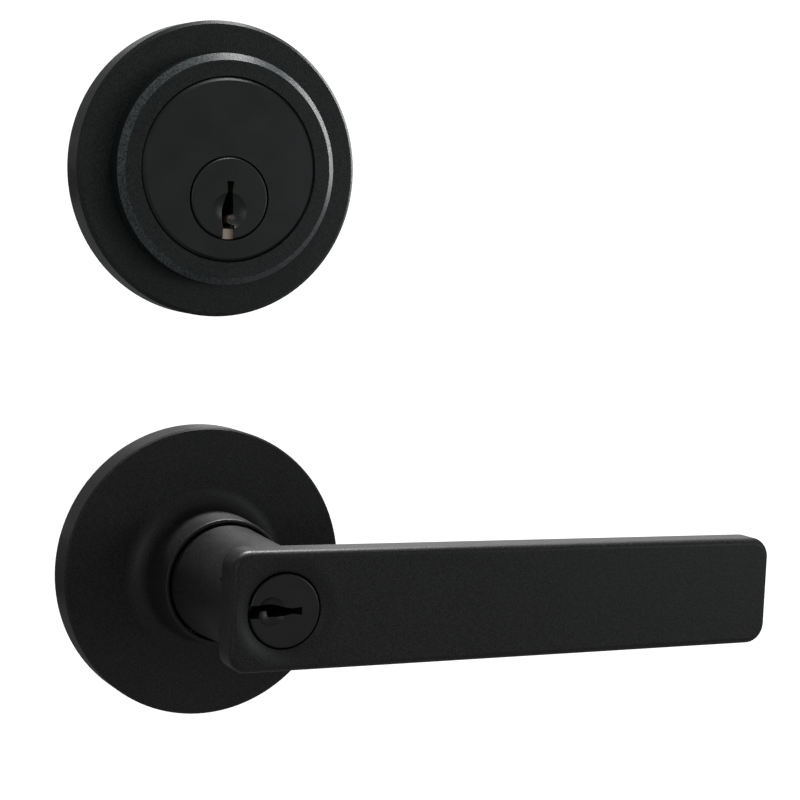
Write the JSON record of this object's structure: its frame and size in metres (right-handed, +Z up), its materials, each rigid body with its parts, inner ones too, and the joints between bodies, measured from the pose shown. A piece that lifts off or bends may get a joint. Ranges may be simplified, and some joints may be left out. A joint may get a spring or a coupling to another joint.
{
  "type": "lever handle lockset",
  "caption": "Satin black keyed lever with round rose, its matching round deadbolt, and the latches and inside trim that go through the door.",
  "frame": {"origin": "centre of the lower cross bore on the outside face of the door, on the turning axis of the levers", "axes": "+Z up, -Y out of the door on the key side, +X from the latch edge towards the hinge side, the way the levers point"},
  "size_m": [0.195, 0.1628, 0.1588],
  "materials": {
    "satin_black": "satin black powder coat",
    "black_cylinder": "satin black plated brass",
    "die_cast_zinc": "die-cast zinc",
    "brass": "turned brass",
    "bearing_plastic": "moulded acetal",
    "spring_steel": "drawn spring wire",
    "plated_steel": "zinc-plated steel",
    "hardened_steel": "hardened steel"
  },
  "bodies": {
    "fixed_trim": {"outside_rose": "satin_black", "outside_chassis": "die_cast_zinc", "outside_return_spring": "spring_steel", "collar_bearings": "bearing_plastic", "inside_rose": "satin_black", "inside_chassis": "die_cast_zinc", "inside_return_spring": "spring_steel", "through_screws": "plated_steel", "latch_faceplate": "satin_black", "latch_barrel": "plated_steel", "latch_case": "plated_steel", "latch_case_cover": "plated_steel", "latch_spring": "spring_steel", "plunger_spring": "spring_steel", "case_rivets": "plated_steel", "deadbolt_rose": "satin_black", "deadbolt_cylinder": "black_cylinder", "deadbolt_driver_pins": "brass", "deadbolt_pin_springs": "spring_steel", "deadbolt_chamber_cap": "brass", "deadbolt_backing_plate": "plated_steel", "deadbolt_faceplate": "satin_black", "deadbolt_barrel": "plated_steel", "deadbolt_case": "plated_steel", "deadbolt_case_cover": "plated_steel", "deadbolt_inside_plate": "plated_steel", "deadbolt_inside_rose": "satin_black"},
    "levers": {"outside_lever": "satin_black", "lever_cylinder_shell": "brass", "lever_driver_pins": "brass", "lever_pin_springs": "spring_steel", "lever_chamber_cap": "brass", "lever_catch": "plated_steel", "outside_drive_sleeve": "die_cast_zinc", "inside_drive_sleeve": "die_cast_zinc", "square_spindle": "plated_steel", "latch_hub": "die_cast_zinc", "inside_lever": "satin_black", "inside_set_screw": "plated_steel", "sleeve_retaining_rings": "spring_steel"},
    "lever_key_train": {"lever_plug": "black_cylinder", "lever_key_pins": "brass", "lever_plug_clip": "spring_steel", "lever_torque_blade": "plated_steel", "turn_button": "satin_black"},
    "spring_latch": {"latch_bolt": "die_cast_zinc", "latch_tail": "plated_steel"},
    "deadlatch": {"deadlatch_plunger": "plated_steel"},
    "deadbolt_drive": {"deadbolt_tailpiece": "brass", "deadbolt_crank": "die_cast_zinc", "thumbturn": "satin_black", "thumbturn_clip": "spring_steel"},
    "deadbolt_key_train": {"deadbolt_plug": "black_cylinder", "deadbolt_key_pins": "brass", "deadbolt_plug_clip": "spring_steel"},
    "deadbolt_bar": {"deadbolt_bolt": "plated_steel", "hardened_insert": "hardened_steel", "deadbolt_tail": "plated_steel"},
    "guard_collar": {"cylinder_guard_collar": "satin_black"}
  },
  "joints": [
    {"name": "lever_turn", "type": "hinge", "parent": "fixed_trim", "child": "levers", "pos_m": [0, 0, 0], "axis": [0, 1, 0], "range_deg": [0, 52], "stiffness_Nm_per_rad": 0.8, "springref_deg": -57.3, "deforming": ["outside_return_spring", "inside_return_spring"]},
    {"name": "latch_slide", "type": "slide", "parent": "fixed_trim", "child": "spring_latch", "axis": [1, 0, 0], "range_m": [0, 0.0128], "deforming": ["latch_spring"]},
    {"name": "deadlatch_slide", "type": "slide", "parent": "fixed_trim", "child": "deadlatch", "axis": [1, 0, 0], "range_m": [0, 0.0115], "stiffness_N_per_m": 150, "springref_m": -0.02, "deforming": ["plunger_spring"]},
    {"name": "lever_key_turn", "type": "hinge", "parent": "levers", "child": "lever_key_train", "pos_m": [0, 0, 0], "axis": [0, 1, 0], "range_deg": [0, 90]},
    {"name": "deadbolt_turn", "type": "hinge", "parent": "fixed_trim", "child": "deadbolt_drive", "pos_m": [0, 0, 0.0857], "axis": [0, -1, 0], "range_deg": [0, 90]},
    {"name": "deadbolt_plug_turn", "type": "hinge", "parent": "fixed_trim", "child": "deadbolt_key_train", "pos_m": [0, 0, 0.0857], "axis": [0, -1, 0], "range_deg": [0, 90.5]},
    {"name": "deadbolt_slide", "type": "slide", "parent": "fixed_trim", "child": "deadbolt_bar", "axis": [-1, 0, 0], "range_m": [0, 0.0255]},
    {"name": "guard_collar_spin", "type": "hinge", "parent": "fixed_trim", "child": "guard_collar", "pos_m": [0, 0, 0.0921], "axis": [0, -1, 0], "continuous": true}
  ],
  "couplings": [
    {"joint": "latch_slide", "follows": "lever_turn", "m_per_rad": 0.014008},
    {"joint": "deadbolt_slide", "follows": "deadbolt_turn", "m_per_rad": 0.01617},
    {"joint": "deadbolt_plug_turn", "follows": "deadbolt_turn", "ratio": 1}
  ]
}
